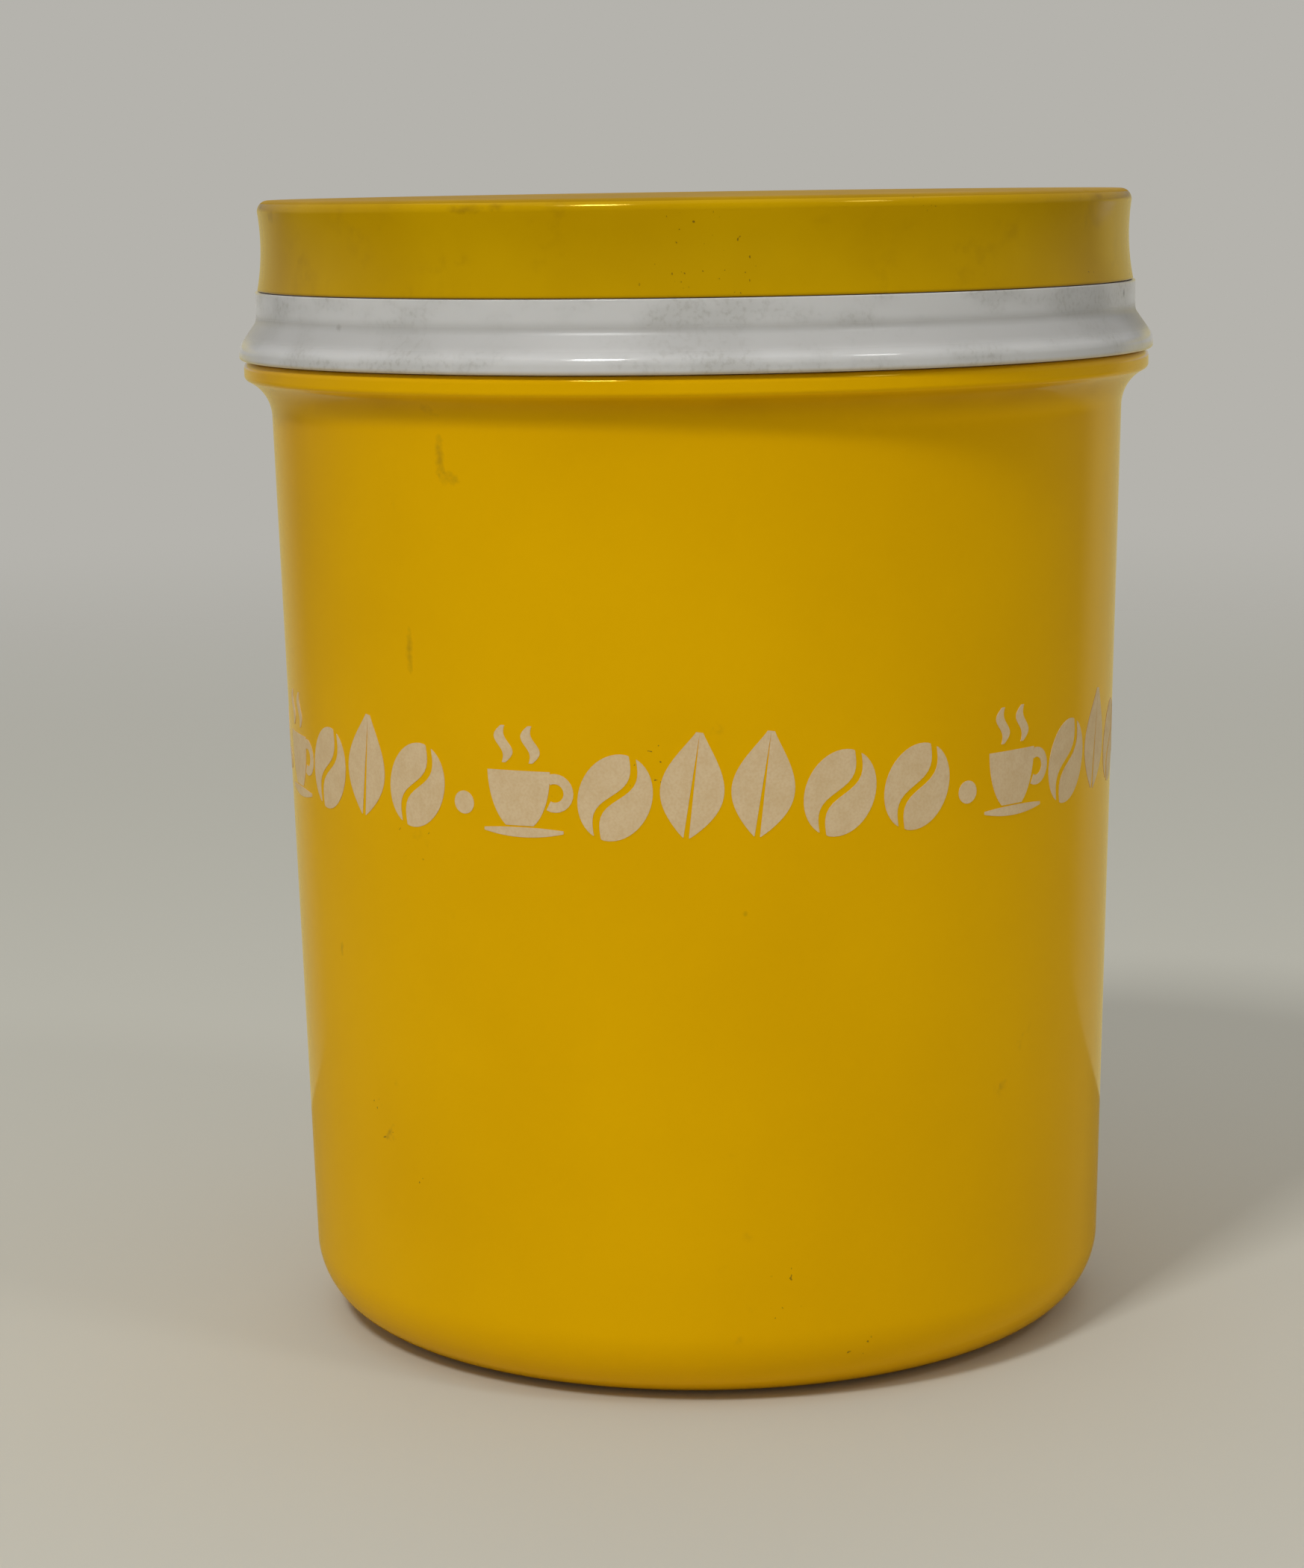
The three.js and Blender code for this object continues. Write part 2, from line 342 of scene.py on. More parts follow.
def bean_strokes():
    """An oval that leans, parted by a crease in the shape of an S."""
    half_width, half_height, crease, sway, lean = 4.7, 5.75, 1.0, 1.2, math.radians(-24)
    sweep = 80

    def side(turn):
        def leaned(x, y):
            x, y = x * turn, y * turn
            return (x * math.cos(lean) - y * math.sin(lean),
                    x * math.sin(lean) + y * math.cos(lean) + SMALL / 2)

        def outer(s):
            a = math.radians(-sweep + 2 * sweep * s)
            return leaned(-half_width * math.cos(a), half_height * math.sin(a))

        def inner(s):
            y = math.sin(math.radians(-sweep + 2 * sweep * s))
            return leaned(sway * math.sin(math.pi * y) - crease / 2, half_height * y)

        return along(20, outer), along(20, inner)

    return [side(1), side(-1)]


def cup_strokes():
    """A round cup on a saucer, with a handle and two curls of steam."""
    bowl_half, bowl_foot, bowl_top, bowl_narrowing = 4.4, 1.5, 8.6, 0.8
    saucer_half, saucer_thick, saucer_thinning, saucer_lift = 5.6, 1.3, 0.7, 0.2
    handle_outside, handle_inside, handle_level, handle_out, handle_sweep = 2.5, 1.2, 5.9, 0.6, 118
    curls, curl_foot, curl_sway, curl_half = (-2.9, 0.9), 9.6, 0.6, 0.85
    shift = -0.9

    def bowl_edge(way):
        def at(s):
            swell = math.sqrt(1 - (1 - s) ** 2 * bowl_narrowing)
            return shift + way * bowl_half * swell, bowl_foot + (bowl_top - bowl_foot) * s
        return at

    def saucer_edge(way):
        def at(s):
            rise = (2 * s - 1) ** 2
            return (shift / 2 + saucer_half * (2 * s - 1),
                    saucer_thick / 2 * (1 + way * (1 - saucer_thinning * rise)) + saucer_lift * rise)
        return at

    def handle_edge(radius):
        def at(s):
            a = math.radians(handle_sweep - 2 * handle_sweep * s)
            return (shift + bowl_half + handle_out + radius * math.cos(a),
                    handle_level + radius * math.sin(a))
        return at

    def steam_edge(x, way):
        def at(s):
            thick = curl_half * math.sin(math.pi * (0.1 + 0.8 * s))
            return (x + curl_sway * math.sin(math.tau * s) + way * thick,
                    curl_foot + (TALL - curl_foot) * s)
        return at

    strokes = [(along(12, bowl_edge(-1)), along(12, bowl_edge(1)))]
    strokes.append((along(16, saucer_edge(1)), along(16, saucer_edge(-1))))
    strokes.append((along(16, handle_edge(handle_outside)), along(16, handle_edge(handle_inside))))
    for x in curls:
        strokes.append((along(14, steam_edge(x, -1)), along(14, steam_edge(x, 1))))
    return strokes


def leaf_strokes():
    """A pointed leaf that leans, parted by its midrib."""
    half_width, rib, tip, lean, inset = 3.6, 0.7, 0.1, math.radians(-8), 0.4
    low_belly, sharpness = 0.85, 1.1

    def half(way):
        def leaned(x, y):
            y -= TALL / 2
            return (x * math.cos(lean) - y * math.sin(lean),
                    x * math.sin(lean) + y * math.cos(lean) + TALL / 2)

        def outer(s):
            swell = math.sin(math.pi * s ** low_belly) ** sharpness
            return leaned(way * (rib / 2 + tip + half_width * swell), inset + (TALL - 2 * inset) * s)

        def inner(s):
            return leaned(way * rib / 2 * (1 - s), inset + (TALL - 2 * inset) * s)

        return (along(24, outer), along(24, inner)) if way < 0 else (along(24, inner), along(24, outer))

    return [half(-1), half(1)]


def dot_strokes():
    """One round dot."""
    sweep = 88

    def edge(way):
        def at(s):
            a = math.radians(-sweep + 2 * sweep * s)
            return way * DOT_RADIUS * math.cos(a), DOT_LEVEL + DOT_RADIUS * math.sin(a)
        return at
    return [(along(12, edge(-1)), along(12, edge(1)))]


def ink_motif(name, strokes, across=4):
    """A closed film for each stroke, flat in X and Y, with its thickness in Z."""
    points, faces = [], []
    for left, right in strokes:
        rows, base = len(left), len(points)
        for lift in (FILM, -SUNK):
            for a, b in zip(left, right):
                for i in range(across + 1):
                    x = a[0] + (b[0] - a[0]) * i / across
                    y = a[1] + (b[1] - a[1]) * i / across
                    points.append((x * MM, y * MM, lift * MM))
        wide, sheet = across + 1, rows * (across + 1)
        for row in range(rows - 1):
            for i in range(across):
                a = base + row * wide + i
                faces.append((a, a + 1, a + 1 + wide, a + wide))
                faces.append((sheet + a, sheet + a + wide, sheet + a + 1 + wide, sheet + a + 1))
        rim = [base + i for i in range(wide)]
        rim += [base + row * wide + across for row in range(1, rows)]
        rim += [base + (rows - 1) * wide + i for i in range(across - 1, -1, -1)]
        rim += [base + row * wide for row in range(rows - 2, 0, -1)]
        for a, b in zip(rim, rim[1:] + rim[:1]):
            faces.append((b, a, sheet + a, sheet + b))
    mesh = bpy.data.meshes.new(name)
    mesh.from_pydata(points, [], faces)
    return bpy.data.objects.new(name, mesh)


motifs = bpy.data.collections.new("motifs")
bpy.context.scene.collection.children.link(motifs)
for name, strokes in (("bean", bean_strokes()), ("cup", cup_strokes()),
                      ("dot", dot_strokes()), ("leaf", leaf_strokes())):
    motifs.objects.link(ink_motif("motif_" + name, strokes))

# The places of one repeat, as points along X that know which motif they carry.
places, kinds, reach = [], [], 0
for before, kind in zip(ROW[-1:] + ROW, ROW):
    gap = DOT_GAP if "dot" in (before, kind) else GAP
    reach += gap + WIDTHS[kind] / 2
    places.append(reach)
    kinds.append(sorted(WIDTHS).index(kind))
    reach += WIDTHS[kind] / 2
row_mesh = bpy.data.meshes.new("print_row")
row_mesh.from_pydata([((p - places[0]) * MM, 0, 0) for p in places], [], [])
row_mesh.attributes.new("motif", "INT", "POINT").data.foreach_set("value", kinds)
row = bpy.data.objects.new("print_row", row_mesh)
bpy.context.scene.collection.objects.link(row)

# Screen ink: opaque and flat, a little uneven where the mesh of the screen printed it thinner.
GRIT_STRENGTH = 0.35

ink, tree, place = material("screen_print_ink_cream")
wear = patches(tree, place, 2.2, 0.35, 0.7)
grit = patches(tree, place, 0.35, 0.35, 0.7)
shade = painted(tree, "#e9cfa4", ("#e3c799", wear), ("#d8b27c", grit, GRIT_STRENGTH))
roughness = add(tree, "ShaderNodeMapRange", {"Value": wear, "To Min": 0.42,
                "To Max": 0.55}).outputs["Result"]
grain = add(tree, "ShaderNodeTexNoise", {"Vector": place, "Scale": 1 / (0.5 * MM), "Detail": 2})
bump = add(tree, "ShaderNodeBump", {"Height": grain.outputs["Fac"], "Strength": 0.2,
           "Distance": 0.03 * MM})
shader = add(tree, "ShaderNodeBsdfPrincipled", {"Base Color": shade, "Roughness": roughness, "IOR": 1.48,
             "Normal": bump.outputs["Normal"]})
add(tree, "ShaderNodeOutputMaterial", {"Surface": shader.outputs["BSDF"]})

# The tree sets the motifs out along a flat row, repeats the row, and wraps it round the leaning wall.
wrap = bpy.data.node_groups.new("wrap_print", "GeometryNodeTree")
wrap.interface.new_socket("Geometry", in_out="INPUT", socket_type="NodeSocketGeometry")
for label, kind in (("Motifs", "Collection"), ("Repeats", "Int"), ("Repeat Length", "Float"),
                    ("Foot", "Float"), ("Radius At Foot", "Float"), ("Radius At Middle", "Float"),
                    ("Lean", "Float"), ("Start Angle", "Float"), ("Ink", "Material")):
    wrap.interface.new_socket(label, in_out="INPUT", socket_type="NodeSocket" + kind)
wrap.interface.new_socket("Geometry", in_out="OUTPUT", socket_type="NodeSocketGeometry")
given = add(wrap, "NodeGroupInput").outputs
shapes = add(wrap, "GeometryNodeCollectionInfo", {"Collection": given["Motifs"], "Separate Children": True,
             "Reset Children": True})
which = add(wrap, "GeometryNodeInputNamedAttribute", {"Name": "motif"}, data_type="INT")
one_row = add(wrap, "GeometryNodeInstanceOnPoints", {"Points": given["Geometry"],
              "Instance": shapes.outputs["Instances"], "Pick Instance": True,
              "Instance Index": which.outputs["Attribute"]})
step = add(wrap, "ShaderNodeCombineXYZ", {"X": given["Repeat Length"]})
starts = add(wrap, "GeometryNodeMeshLine", {"Count": given["Repeats"], "Offset": step.outputs[0]})
all_rows = add(wrap, "GeometryNodeInstanceOnPoints", {"Points": starts.outputs["Mesh"],
               "Instance": one_row.outputs["Instances"]})
flat = add(wrap, "GeometryNodeRealizeInstances", {"Geometry": all_rows.outputs["Instances"]})
spot = add(wrap, "ShaderNodeSeparateXYZ", {0: add(wrap, "GeometryNodeInputPosition").outputs[0]}).outputs
turn = add(wrap, "ShaderNodeMath", {0: spot["X"], 1: given["Radius At Middle"]},
           operation="DIVIDE").outputs[0]
turn = add(wrap, "ShaderNodeMath", {0: turn, 1: given["Start Angle"]}, operation="ADD").outputs[0]
widening = add(wrap, "ShaderNodeMath", {0: spot["Y"], 1: given["Lean"], 2: given["Radius At Foot"]},
               operation="MULTIPLY_ADD").outputs[0]
radius = add(wrap, "ShaderNodeMath", {0: widening, 1: spot["Z"]}, operation="ADD").outputs[0]
sine = add(wrap, "ShaderNodeMath", {0: turn}, operation="SINE").outputs[0]
cosine = add(wrap, "ShaderNodeMath", {0: turn}, operation="COSINE").outputs[0]
front = add(wrap, "ShaderNodeMath", {0: radius, 1: -1}, operation="MULTIPLY").outputs[0]
wrapped = add(wrap, "ShaderNodeCombineXYZ", {
    "X": add(wrap, "ShaderNodeMath", {0: radius, 1: sine}, operation="MULTIPLY").outputs[0],
    "Y": add(wrap, "ShaderNodeMath", {0: front, 1: cosine}, operation="MULTIPLY").outputs[0],
    "Z": add(wrap, "ShaderNodeMath", {0: spot["Y"], 1: given["Foot"]}, operation="ADD").outputs[0]})
bent = add(wrap, "GeometryNodeSetPosition", {"Geometry": flat.outputs[0], "Position": wrapped.outputs[0]})
inked = add(wrap, "GeometryNodeSetMaterial", {"Geometry": bent.outputs[0], "Material": given["Ink"]})
add(wrap, "NodeGroupOutput", {"Geometry": inked.outputs[0]})

wrapping = row.modifiers.new("wrap", "NODES")
wrapping.node_group = wrap
wrap_inputs = {"Motifs": motifs, "Repeats": REPEATS, "Repeat Length": reach * MM, "Foot": PRINT_FOOT * MM,
               "Radius At Foot": wall_outside(PRINT_FOOT) * MM,
               "Radius At Middle": wall_outside(PRINT_FOOT + TALL / 2) * MM,
               "Lean": math.tan(DRAFT), "Start Angle": FIRST_DOT, "Ink": ink}
for socket in wrap.interface.items_tree:
    if socket.name in wrap_inputs:
        wrapping[socket.identifier] = wrap_inputs[socket.name]
bpy.context.view_layer.update()
evaluated = row.evaluated_get(bpy.context.evaluated_depsgraph_get())
band_mesh = bpy.data.meshes.new_from_object(evaluated)
band_mesh.materials.clear()
band_mesh.materials.append(ink)
band = bpy.data.objects.new("print_band", band_mesh)
bpy.context.scene.collection.objects.link(band)
for used in [row, *motifs.objects]:
    bpy.data.objects.remove(used)
bpy.data.collections.remove(motifs)
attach(band, "canister")

# ---- sealing insert ----
# A soft milky-white polyethylene moulding: a dished plug with two fins that wipe the body's inside, a
# ledge on the rim, the band that shows with its bead and neck, and a spigot for the lid cap.

insert_low, insert_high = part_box("sealing_insert")
lid_low, lid_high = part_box("lid_cap")

# The band that shows.
SEAT_GAP = 0.12
LID_GAP = 0.08
BEAD_RADIUS = insert_high.x / MM
BEAD_LEVEL = 1.25
BEAD_UNDER_ROUND = 0.45
BEAD_ROUND = 1.8
SHOULDER_TURN = 35
NECK_COVE = 1.6
NECK_PROUD = 0.32
EDGE_ROUND = 0.12
NECK_ROUND = 0.3
BAND_WALL = 1.8
LEDGE = 1.7

# The plug in the mouth, its fins, and the spigot over it.
PLUG_BOTTOM = insert_low.z / MM
SKIRT_CLEARANCE = 0.9
SKIRT_WALL = 1.6
FIN_CLEARANCE = 0.15
FIN_HEIGHT = 1.4
FIN_ROUND = 0.15
FIN_LEVELS = (2.6, 5.8)
PLUG_FLOOR = 1.5
PLUG_ROUND = 1.2
SPIGOT_TOP = insert_high.z / MM
SPIGOT_WALL = 1.6
SPIGOT_CLEARANCE = 0.4
SPIGOT_HEIGHT = 4
GRIP_CLEARANCE = 0.12
GRIP_HEIGHT = 1.2

# The lid's lip, which the neck and the spigot are fitted to.
LIP_RADIUS = lid_high.x / MM
LIP_BOTTOM = lid_low.z / MM
LID_WAIST = 0.45
LID_WALL = 2.2

ledge_bottom = RIM_TOP + SEAT_GAP
neck_top = LIP_BOTTOM - LID_GAP
neck_radius = LIP_RADIUS + NECK_PROUD
lid_bore = LIP_RADIUS - LID_WAIST - LID_WALL
skirt_radius = wall_outside(PLUG_BOTTOM) - WALL - SKIRT_CLEARANCE
skirt_inside = skirt_radius - SKIRT_WALL
bead_top = RIM_TOP + BEAD_LEVEL
shoulder = math.radians(SHOULDER_TURN)
shoulder_foot = BEAD_RADIUS - BEAD_ROUND * (1 - math.cos(shoulder))
shoulder_run = shoulder_foot - neck_radius - NECK_COVE * (1 - math.cos(shoulder))
neck_foot = bead_top + (BEAD_ROUND + NECK_COVE) * math.sin(shoulder) + shoulder_run / math.tan(shoulder)
spigot_radius = lid_bore - SPIGOT_CLEARANCE
spigot_inside = spigot_radius - SPIGOT_WALL
grip_middle = neck_top + SPIGOT_HEIGHT / 2
band_inside = neck_radius - BAND_WALL
ledge_inside = shoulder_foot - BAND_WALL

# The plug's underside and its skirt with the fins, up to the ledge.
insert_outline = [(0, PLUG_BOTTOM)]
insert_outline += arc((skirt_radius - PLUG_ROUND, PLUG_BOTTOM + PLUG_ROUND), PLUG_ROUND, -90, 0, 8)
for fin in FIN_LEVELS:
    fin_foot = PLUG_BOTTOM + fin
    fin_radius = wall_outside(fin_foot) - WALL - FIN_CLEARANCE
    insert_outline.append((skirt_radius, fin_foot))
    insert_outline += arc((fin_radius - FIN_ROUND, fin_foot + FIN_HEIGHT / 2), FIN_ROUND, -60, 60, 6)
    insert_outline.append((skirt_radius, fin_foot + FIN_HEIGHT))
insert_outline += arc((skirt_radius + NECK_ROUND, ledge_bottom - NECK_ROUND), NECK_ROUND, 180, 90, 4)

# The bead, the hollow shoulder and the neck.
insert_outline += arc((BEAD_RADIUS - BEAD_UNDER_ROUND, ledge_bottom + BEAD_UNDER_ROUND),
                      BEAD_UNDER_ROUND, -90, 0, 6)
insert_outline += arc((BEAD_RADIUS - BEAD_ROUND, bead_top), BEAD_ROUND, 0, SHOULDER_TURN, 8)
insert_outline += arc((neck_radius + NECK_COVE, neck_foot), NECK_COVE, 180 + SHOULDER_TURN, 180, 12)
insert_outline += arc((neck_radius - EDGE_ROUND, neck_top - EDGE_ROUND), EDGE_ROUND, 0, 90, 5)

# The spigot with its grip ridge.
insert_outline.append((spigot_radius, neck_top))
insert_outline.append((spigot_radius, grip_middle - GRIP_HEIGHT / 2))
insert_outline.append((lid_bore - GRIP_CLEARANCE, grip_middle))
insert_outline.append((spigot_radius, grip_middle + GRIP_HEIGHT / 2))
insert_outline += arc((spigot_radius - NECK_ROUND, SPIGOT_TOP - NECK_ROUND), NECK_ROUND, 0, 90, 5)
insert_outline += arc((spigot_inside + NECK_ROUND, SPIGOT_TOP - NECK_ROUND), NECK_ROUND, 90, 180, 5)

# The inside of the band and the skirt, down to the dish.
insert_outline.append((spigot_inside, neck_top - BAND_WALL))
insert_outline.append((band_inside, neck_top - BAND_WALL - (band_inside - spigot_inside) / 2))
insert_outline.append((band_inside, neck_foot - BAND_WALL / 2))
insert_outline.append((ledge_inside, bead_top + LEDGE / 2))
insert_outline.append((ledge_inside, ledge_bottom + LEDGE))
insert_outline += arc((skirt_inside + NECK_ROUND, ledge_bottom + LEDGE - NECK_ROUND),
                      NECK_ROUND, 90, 180, 5)
insert_outline += arc((skirt_inside - PLUG_ROUND, PLUG_BOTTOM + PLUG_FLOOR + PLUG_ROUND),
                      PLUG_ROUND, 0, -90, 8)
insert_outline += [(0, PLUG_BOTTOM + PLUG_FLOOR)]
insert = turned("seal_insert", insert_outline)
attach(insert, "insert")
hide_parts("sealing_insert")

# Low-density polyethylene: milky and waxy, light goes a little way in, and it takes grey handling
# marks that spread sideways, fine dust and a few dark specks that do not wash out.
HOLLOW_STRENGTH = 0.6
INSERT_MARKS = (
    (-27, 138.3, 0.9, 1.2), (70.6, 142.0, 0.8, 1.0), (-49, 139.7, 1.0, 1.0), (131, 140.5, 1.2, 0.8),
    (214, 137.6, 0.8, 1.1))

polyethylene, tree, place = material("moulded_polyethylene_milky_white")
wiped = add(tree, "ShaderNodeMapping", {"Vector": place, "Scale": (0.45, 0.45, 1)}).outputs[0]
stain = patches(tree, wiped, 6, 0.42, 0.68)
dust = patches(tree, place, 0.7, 0.45, 0.75)
height = add(tree, "ShaderNodeSeparateXYZ", {0: place}).outputs["Z"]
over_bead = add(tree, "ShaderNodeMapRange", {"Value": height, "From Min": (bead_top + 0.7) * MM,
                "From Max": (bead_top + 2.4) * MM}, interpolation_type="SMOOTHSTEP").outputs["Result"]
under_neck = add(tree, "ShaderNodeMapRange", {"Value": height, "From Min": (neck_foot + 1.2) * MM,
                 "From Max": (neck_foot - 0.4) * MM}, interpolation_type="SMOOTHSTEP").outputs["Result"]
# The hollow shoulder over the bead is darker grey and duller: partly dirt caught there, partly painted
# shade in the hollow.
hollow = add(tree, "ShaderNodeMath", {0: over_bead, 1: under_neck}, operation="MULTIPLY").outputs[0]
seam_dirt = add(tree, "ShaderNodeMapRange", {"Value": height, "From Min": (ledge_bottom + 0.6) * MM,
                "From Max": ledge_bottom * MM, "To Max": 0.5}).outputs["Result"]
shade = painted(
    tree, "#dcdbd8",
    ("#cecdc9", stain),
    ("#bfbdb7", dust, stain),
    *[("#6a6459", mark(tree, place, neck_radius, *spot)) for spot in INSERT_MARKS],
    # painted shade in the hollow shoulder, partly dirt caught there
    ("#b3b1ac", hollow, HOLLOW_STRENGTH),
    ("#b39a5c", seam_dirt))
waves = add(tree, "ShaderNodeTexNoise", {"Vector": wiped, "Scale": 1 / (9 * MM), "Detail": 2})
bump = add(tree, "ShaderNodeBump", {"Height": waves.outputs["Fac"], "Strength": 0.2,
           "Distance": 0.15 * MM})
worn = add(tree, "ShaderNodeMapRange", {"Value": stain, "To Min": 0, "To Max": 0.3}).outputs["Result"]
dull = add(tree, "ShaderNodeMath", {0: worn, 1: hollow}, operation="MAXIMUM").outputs[0]
roughness = add(tree, "ShaderNodeMapRange", {"Value": dull, "To Min": 0.11,
                "To Max": 0.36}).outputs["Result"]
shader = add(tree, "ShaderNodeBsdfPrincipled", {"Base Color": shade, "Roughness": roughness, "IOR": 1.51,
             "Subsurface Weight": 0.2, "Subsurface Radius": (1, 0.9, 0.8), "Subsurface Scale": 1 * MM,
             "Normal": bump.outputs["Normal"]})
add(tree, "ShaderNodeOutputMaterial", {"Surface": shader.outputs["BSDF"]})
insert.data.materials.append(polyethylene)

# ---- lid cap ----
# A shallow cap moulded in a slightly more olive yellow than the body. It is pressed over the insert's
# spigot, has a side that is a little hollow, a rounded edge and a flat top.

LID_TOP_HEIGHT = lid_high.z / MM
LID_TAPER = 0.25
LID_ROUND = 1.5
LID_TOP_WALL = 2.4
LID_INNER_ROUND = 1.5
LIP_ROUND = 0.15
MATT_DEPTH = 0.4
SIDE_RINGS = 16

edge_radius = LIP_RADIUS - LID_TAPER
edge_foot = LID_TOP_HEIGHT - LID_ROUND
inner_top = LID_TOP_HEIGHT - LID_TOP_WALL


def lid_side(s):
    """The hollow side, from the lip at 0 to the rounded edge at 1, deepest halfway."""
    low = LIP_BOTTOM + LIP_ROUND
    return LIP_RADIUS - LID_TAPER * s - LID_WAIST * 4 * s * (1 - s), low + (edge_foot - low) * s


lid_outline = [(0, inner_top)]
lid_outline += arc((lid_bore - LID_INNER_ROUND, inner_top - LID_INNER_ROUND), LID_INNER_ROUND, 90, 0, 8)
lid_outline += [(lid_bore, LIP_BOTTOM + LIP_ROUND), (lid_bore + LIP_ROUND, LIP_BOTTOM)]
lid_outline += arc((LIP_RADIUS - LIP_ROUND, LIP_BOTTOM + LIP_ROUND), LIP_ROUND, -90, -10, 4)
lid_outline += [lid_side(i / SIDE_RINGS) for i in range(SIDE_RINGS)]
lid_outline += arc((edge_radius - LID_ROUND, edge_foot), LID_ROUND, 0, 90, 12)
lid_outline += [(0, LID_TOP_HEIGHT)]
lid = turned("lid_shell", lid_outline)
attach(lid, "cap")
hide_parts("lid_cap")

# The cap's plastic has aged more than the body's: duller, with fine grain, darker rubs towards its
# edges and a line of dirt in the seam above the insert. Its flat top came from a matt mould and is
# worn, so it has hardly any gloss; its deeper colour there is painted shade.
LID_RUB_STRENGTH = 0.4
LID_MARK_STRENGTH = 0.4
LID_MARKS = (
    (-28.5, 154.6, 4.0, 1.0), (-24, 154.9, 2.0, 0.8), (62, 154.9, 3.0, 0.9), (-70, 153.8, 2.5, 1.5),
    (140, 154.5, 3.5, 1.2))

for finish, smooth, rough, gloss, new, aged in (
        ("moulded_abs_olive_yellow", 0.12, 0.26, 0.5, "#d2a500", "#c89b00"),
        # the matt copy, for the flat top, is given darker colours: painted shade on the top
        ("moulded_abs_olive_yellow_matt_shaded", 0.55, 0.7, 0.12, "#b98f00", "#ae8500")):
    lid_plastic, tree, place = material(finish)
    cloud = patches(tree, place, 26, 0.3, 0.7)
    rubs = add(tree, "ShaderNodeMath", {0: patches(tree, place, 9, 0.5, 0.72),
               1: patches(tree, place, 2.2, 0.42, 0.7)}, operation="MULTIPLY").outputs[0]
    height = add(tree, "ShaderNodeSeparateXYZ", {0: place}).outputs["Z"]
    seam_dirt = add(tree, "ShaderNodeMapRange", {"Value": height, "From Min": (LIP_BOTTOM + 0.4) * MM,
                    "From Max": LIP_BOTTOM * MM, "To Max": 0.6}).outputs["Result"]
    shade = painted(
        tree, new,
        (aged, cloud),
        ("#b08708", rubs, LID_RUB_STRENGTH),
        ("#7a5a10", seam_dirt),
        ("#8a6a14", patches(tree, place, 0.5, 0.78, 0.81, 0), patches(tree, place, 17, 0.6, 0.63)),
        *[("#8a6410", mark(tree, place, LIP_RADIUS - LID_TAPER, *spot), LID_MARK_STRENGTH)
          for spot in LID_MARKS])
    grain = add(tree, "ShaderNodeTexNoise", {"Vector": place, "Scale": 1 / (0.8 * MM), "Detail": 3})
    bump = add(tree, "ShaderNodeBump", {"Height": grain.outputs["Fac"], "Strength": 0.12,
               "Distance": 0.05 * MM})
    worn = add(tree, "ShaderNodeMath", {0: rubs, 1: cloud}, operation="MULTIPLY").outputs[0]
    roughness = add(tree, "ShaderNodeMapRange", {"Value": worn, "To Min": smooth,
                    "To Max": rough}).outputs["Result"]
    shader = add(tree, "ShaderNodeBsdfPrincipled", {"Base Color": shade, "Specular IOR Level": gloss,
                 "Roughness": roughness, "IOR": 1.5, "Specular Tint": colour(GOLD_GLOSS),
                 "Normal": bump.outputs["Normal"]})
    add(tree, "ShaderNodeOutputMaterial", {"Surface": shader.outputs["BSDF"]})
    lid.data.materials.append(lid_plastic)
for face in lid.data.polygons:
    face.material_index = int(face.center.z > (LID_TOP_HEIGHT - MATT_DEPTH) * MM)

# ---- floor, light and camera ----
# A plain pale floor that fades into a pale surround, a soft key light from the front left, a weaker
# one from the front right, fill from above and behind, and a pale card close behind the canister.

FLOOR_RADIUS = 1.5
PALE = "#b5b3ad"

# The surround is plain and pale in view, and dimmer as a light and in reflections.
world = bpy.data.worlds.new("surround")
bpy.context.scene.world = world
world.use_nodes = True
tree = world.node_tree
tree.nodes.clear()
seen = add(tree, "ShaderNodeBackground", {"Color": colour(PALE), "Strength": 1})
aim = add(tree, "ShaderNodeTexCoord").outputs["Generated"]
upward = add(tree, "ShaderNodeSeparateXYZ", {0: aim}).outputs["Z"]
strength = add(tree, "ShaderNodeMapRange", {"Value": upward, "From Min": -0.2, "From Max": 0.1,
               "To Min": 0.03, "To Max": 0.2}).outputs["Result"]
dim = add(tree, "ShaderNodeBackground", {"Color": colour("#ffffff"), "Strength": strength})
ray = add(tree, "ShaderNodeLightPath").outputs["Is Camera Ray"]
both = add(tree, "ShaderNodeMixShader", {0: ray, 1: dim.outputs[0], 2: seen.outputs[0]})
add(tree, "ShaderNodeOutputWorld", {"Surface": both.outputs[0]})

# Matt paint that fades away at its edge. Reflections are given a warmer floor than the one in view.
bpy.ops.mesh.primitive_circle_add(vertices=128, radius=FLOOR_RADIUS, fill_type="NGON")
floor = bpy.context.object
floor.name = "floor"
pale, tree, place = material("pale_floor")
away = add(tree, "ShaderNodeVectorMath", {0: place}, operation="LENGTH").outputs["Value"]
fade = add(tree, "ShaderNodeMapRange", {"Value": away, "From Min": 0.3, "From Max": 1.2},
           interpolation_type="SMOOTHSTEP").outputs["Result"]
mirrored = add(tree, "ShaderNodeLightPath").outputs["Is Glossy Ray"]
paint = painted(tree, "#d2d0c4", ("#cdb060", mirrored))
matt = add(tree, "ShaderNodeBsdfDiffuse", {"Color": paint})
clear = add(tree, "ShaderNodeBsdfTransparent")
mixed = add(tree, "ShaderNodeMixShader", {0: fade, 1: matt.outputs[0], 2: clear.outputs[0]})
add(tree, "ShaderNodeOutputMaterial", {"Surface": mixed.outputs[0]})
floor.data.materials.append(pale)

# A card that only reflections see: warm, neutral at the height of the insert, soft at its ends and top.
CARD_DISTANCE = 0.106
CARD_WIDTH = 0.44
CARD_HEIGHT = 0.165
CARD_SHIFT = 0.03
CARD_FULL = 0.13
CARD_SOFT_TOP = 0.012
NEUTRAL_BAND = (0.1285, 0.1415)
NEUTRAL_SOFT = 0.002

